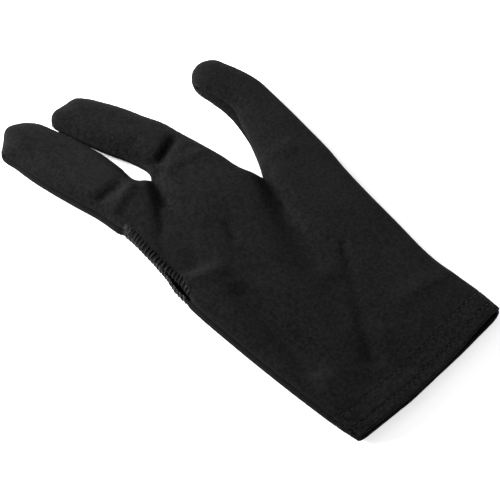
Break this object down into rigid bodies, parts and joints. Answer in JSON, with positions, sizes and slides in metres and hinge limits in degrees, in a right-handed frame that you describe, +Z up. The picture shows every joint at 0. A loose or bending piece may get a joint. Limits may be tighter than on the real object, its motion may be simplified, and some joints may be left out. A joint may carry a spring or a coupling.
{
  "type": "billiard glove",
  "caption": "Three-finger billiard glove in thin black stretch knit for the left hand, lying on its palm, open at the cuff and at the side for the ring and little fingers.",
  "frame": {"origin": "on the table under the middle of the glove's box", "axes": "+Y from the cuff to the fingertips, +X to the thumb side, +Z up from the table through the back of the glove"},
  "size_m": [0.1414, 0.2362, 0.0118],
  "materials": {
    "knit": "fine black polyester-elastane knit, matt with a faint sheen at grazing angles",
    "knit_palm": "the same black knit, palm side",
    "hem": "the same knit turned up double, two rows of black stitches",
    "overlock": "edge overlocked with black polyester thread"
  },
  "bodies": {
    "root": {"back_hand": "knit", "back_middle_finger": "knit", "back_index_finger": "knit", "back_thumb": "knit", "palm_hand": "knit_palm", "palm_middle_finger": "knit_palm", "palm_index_finger": "knit_palm", "palm_thumb": "knit_palm", "cuff_hem": "hem", "opening_edge_back": "overlock", "opening_edge_palm": "overlock"}
  },
  "joints": []
}
